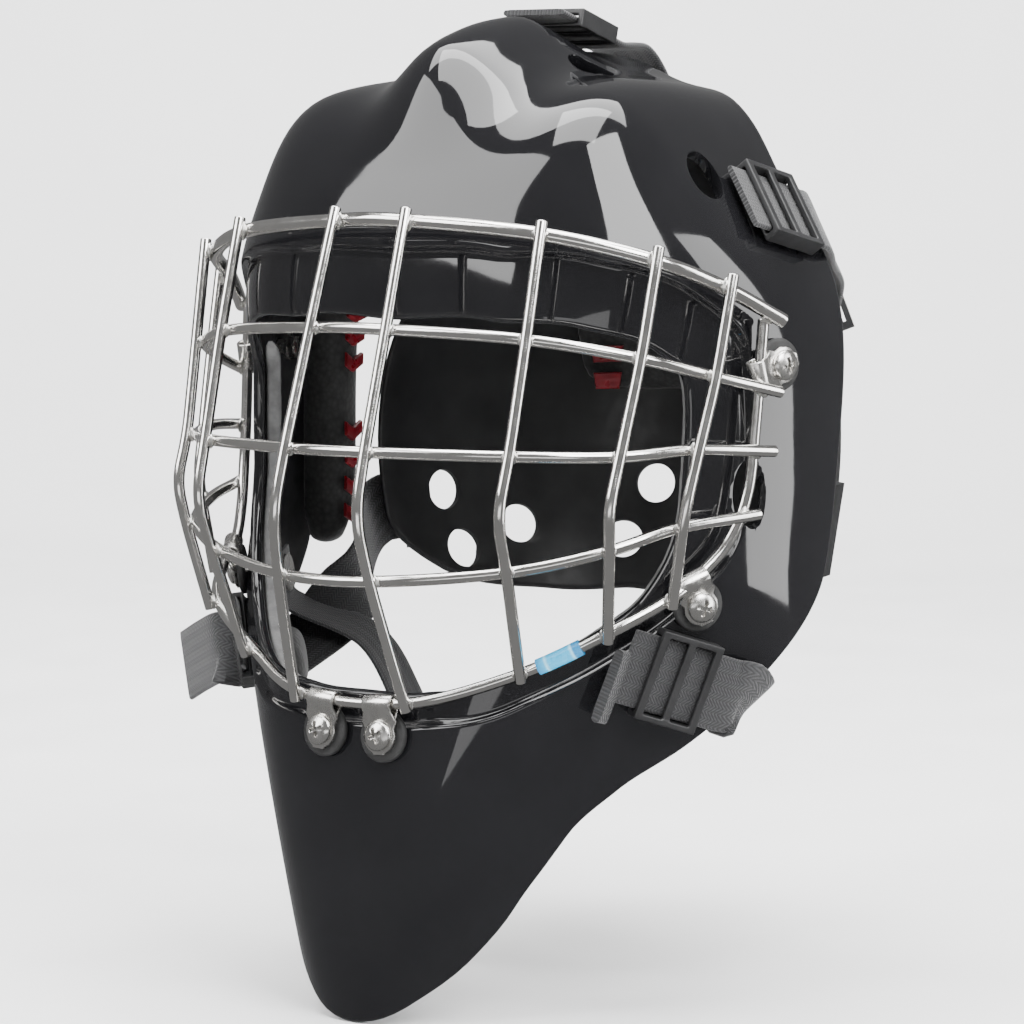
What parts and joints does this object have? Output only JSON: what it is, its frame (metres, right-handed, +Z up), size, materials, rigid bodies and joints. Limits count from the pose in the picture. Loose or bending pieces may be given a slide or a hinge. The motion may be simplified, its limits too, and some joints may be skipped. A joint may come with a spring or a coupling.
{
  "type": "ice hockey goalie mask",
  "caption": "Goalie mask with a ridged gloss black shell, a welded wire cage held by screwed clips, foam padding, a vented backplate, webbing harness and chin cup.",
  "frame": {"origin": "inside the head cavity, on the middle plane, behind the eye opening", "axes": "+X towards the wearer's left, -Y out of the face, +Z up"},
  "size_m": [0.2024, 0.2252, 0.2926],
  "materials": {
    "shell_gloss": "gloss clear-coated black",
    "cage_wire": "polished steel wire",
    "clip_steel": "plated steel",
    "washer_rubber": "matt black rubber",
    "label_wrap": "plain blue film wrap",
    "pad_foam": "black foam with a knitted face",
    "trim_foam": "dark grey closed-cell foam",
    "gel_red": "red moulded gel",
    "plate_plastic": "satin black moulded plastic",
    "webbing": "black woven elastic webbing",
    "buckle_plastic": "black moulded plastic"
  },
  "bodies": {
    "mask": {"shell": "shell_gloss", "cage_top_bar": "cage_wire", "cage_rim_wire": "cage_wire", "cage_cross_bar_1": "cage_wire", "cage_cross_bar_2": "cage_wire", "cage_cross_bar_3": "cage_wire", "cage_upright_1": "cage_wire", "cage_upright_2": "cage_wire", "cage_upright_3": "cage_wire", "cage_upright_4": "cage_wire", "cage_upright_5": "cage_wire", "cage_upright_6": "cage_wire", "cage_upright_7": "cage_wire", "cage_upright_8": "cage_wire", "rim_label": "label_wrap", "cage_clips": "clip_steel", "clip_screws": "clip_steel", "clip_washers": "washer_rubber", "clip_nuts": "clip_steel", "forehead_pad": "pad_foam", "crown_pad": "pad_foam", "side_pad_left": "pad_foam", "side_pad_right": "pad_foam", "jaw_pad_left": "pad_foam", "jaw_pad_right": "pad_foam", "opening_trim": "trim_foam", "gel_side_left": "gel_red", "gel_side_right": "gel_red", "crown_strap": "webbing", "upper_strap_left": "webbing", "upper_strap_right": "webbing", "lower_strap_left": "webbing", "lower_strap_right": "webbing", "strap_tail_left": "webbing", "strap_tail_right": "webbing", "chin_snaps": "clip_steel"},
    "backplate": {"backplate": "plate_plastic", "backplate_pad": "pad_foam", "gel_back": "gel_red", "strap_anchors": "buckle_plastic"},
    "crown_slider": {"crown_adjuster": "buckle_plastic"},
    "upper_slider_left": {"upper_adjuster_left": "buckle_plastic"},
    "upper_slider_right": {"upper_adjuster_right": "buckle_plastic"},
    "lower_slider_left": {"lower_buckle_left": "buckle_plastic"},
    "lower_slider_right": {"lower_buckle_right": "buckle_plastic"},
    "chin_hanger": {"chin_cup": "plate_plastic", "chin_cup_pad": "pad_foam", "chin_strap_left": "webbing", "chin_strap_right": "webbing"}
  },
  "joints": [
    {"name": "backplate_hinge", "type": "hinge", "parent": "mask", "child": "backplate", "pos_m": [0, 0.062, 0.149], "axis": [1, 0, 0], "range_deg": [0, 22], "stiffness_Nm_per_rad": 0.6, "deforming": ["crown_strap", "upper_strap_left", "upper_strap_right", "lower_strap_left", "lower_strap_right"]},
    {"name": "crown_slide", "type": "slide", "parent": "mask", "child": "crown_slider", "axis": [0, 0.9647, -0.2634], "range_m": [-0.004, 0.004]},
    {"name": "upper_slide_left", "type": "slide", "parent": "mask", "child": "upper_slider_left", "axis": [0.1311, 0.9674, -0.2169], "range_m": [-0.004, 0.004]},
    {"name": "upper_slide_right", "type": "slide", "parent": "mask", "child": "upper_slider_right", "axis": [-0.1311, 0.9674, -0.2169], "range_m": [-0.004, 0.004]},
    {"name": "lower_slide_left", "type": "slide", "parent": "mask", "child": "lower_slider_left", "axis": [0.4935, 0.8139, -0.3067], "range_m": [-0.004, 0.004]},
    {"name": "lower_slide_right", "type": "slide", "parent": "mask", "child": "lower_slider_right", "axis": [-0.4935, 0.8139, -0.3067], "range_m": [-0.004, 0.004]},
    {"name": "chin_swing", "type": "hinge", "parent": "mask", "child": "chin_hanger", "pos_m": [0, -0.00503, -0.02328], "axis": [1, 0, 0], "range_deg": [-10, 12]}
  ]
}
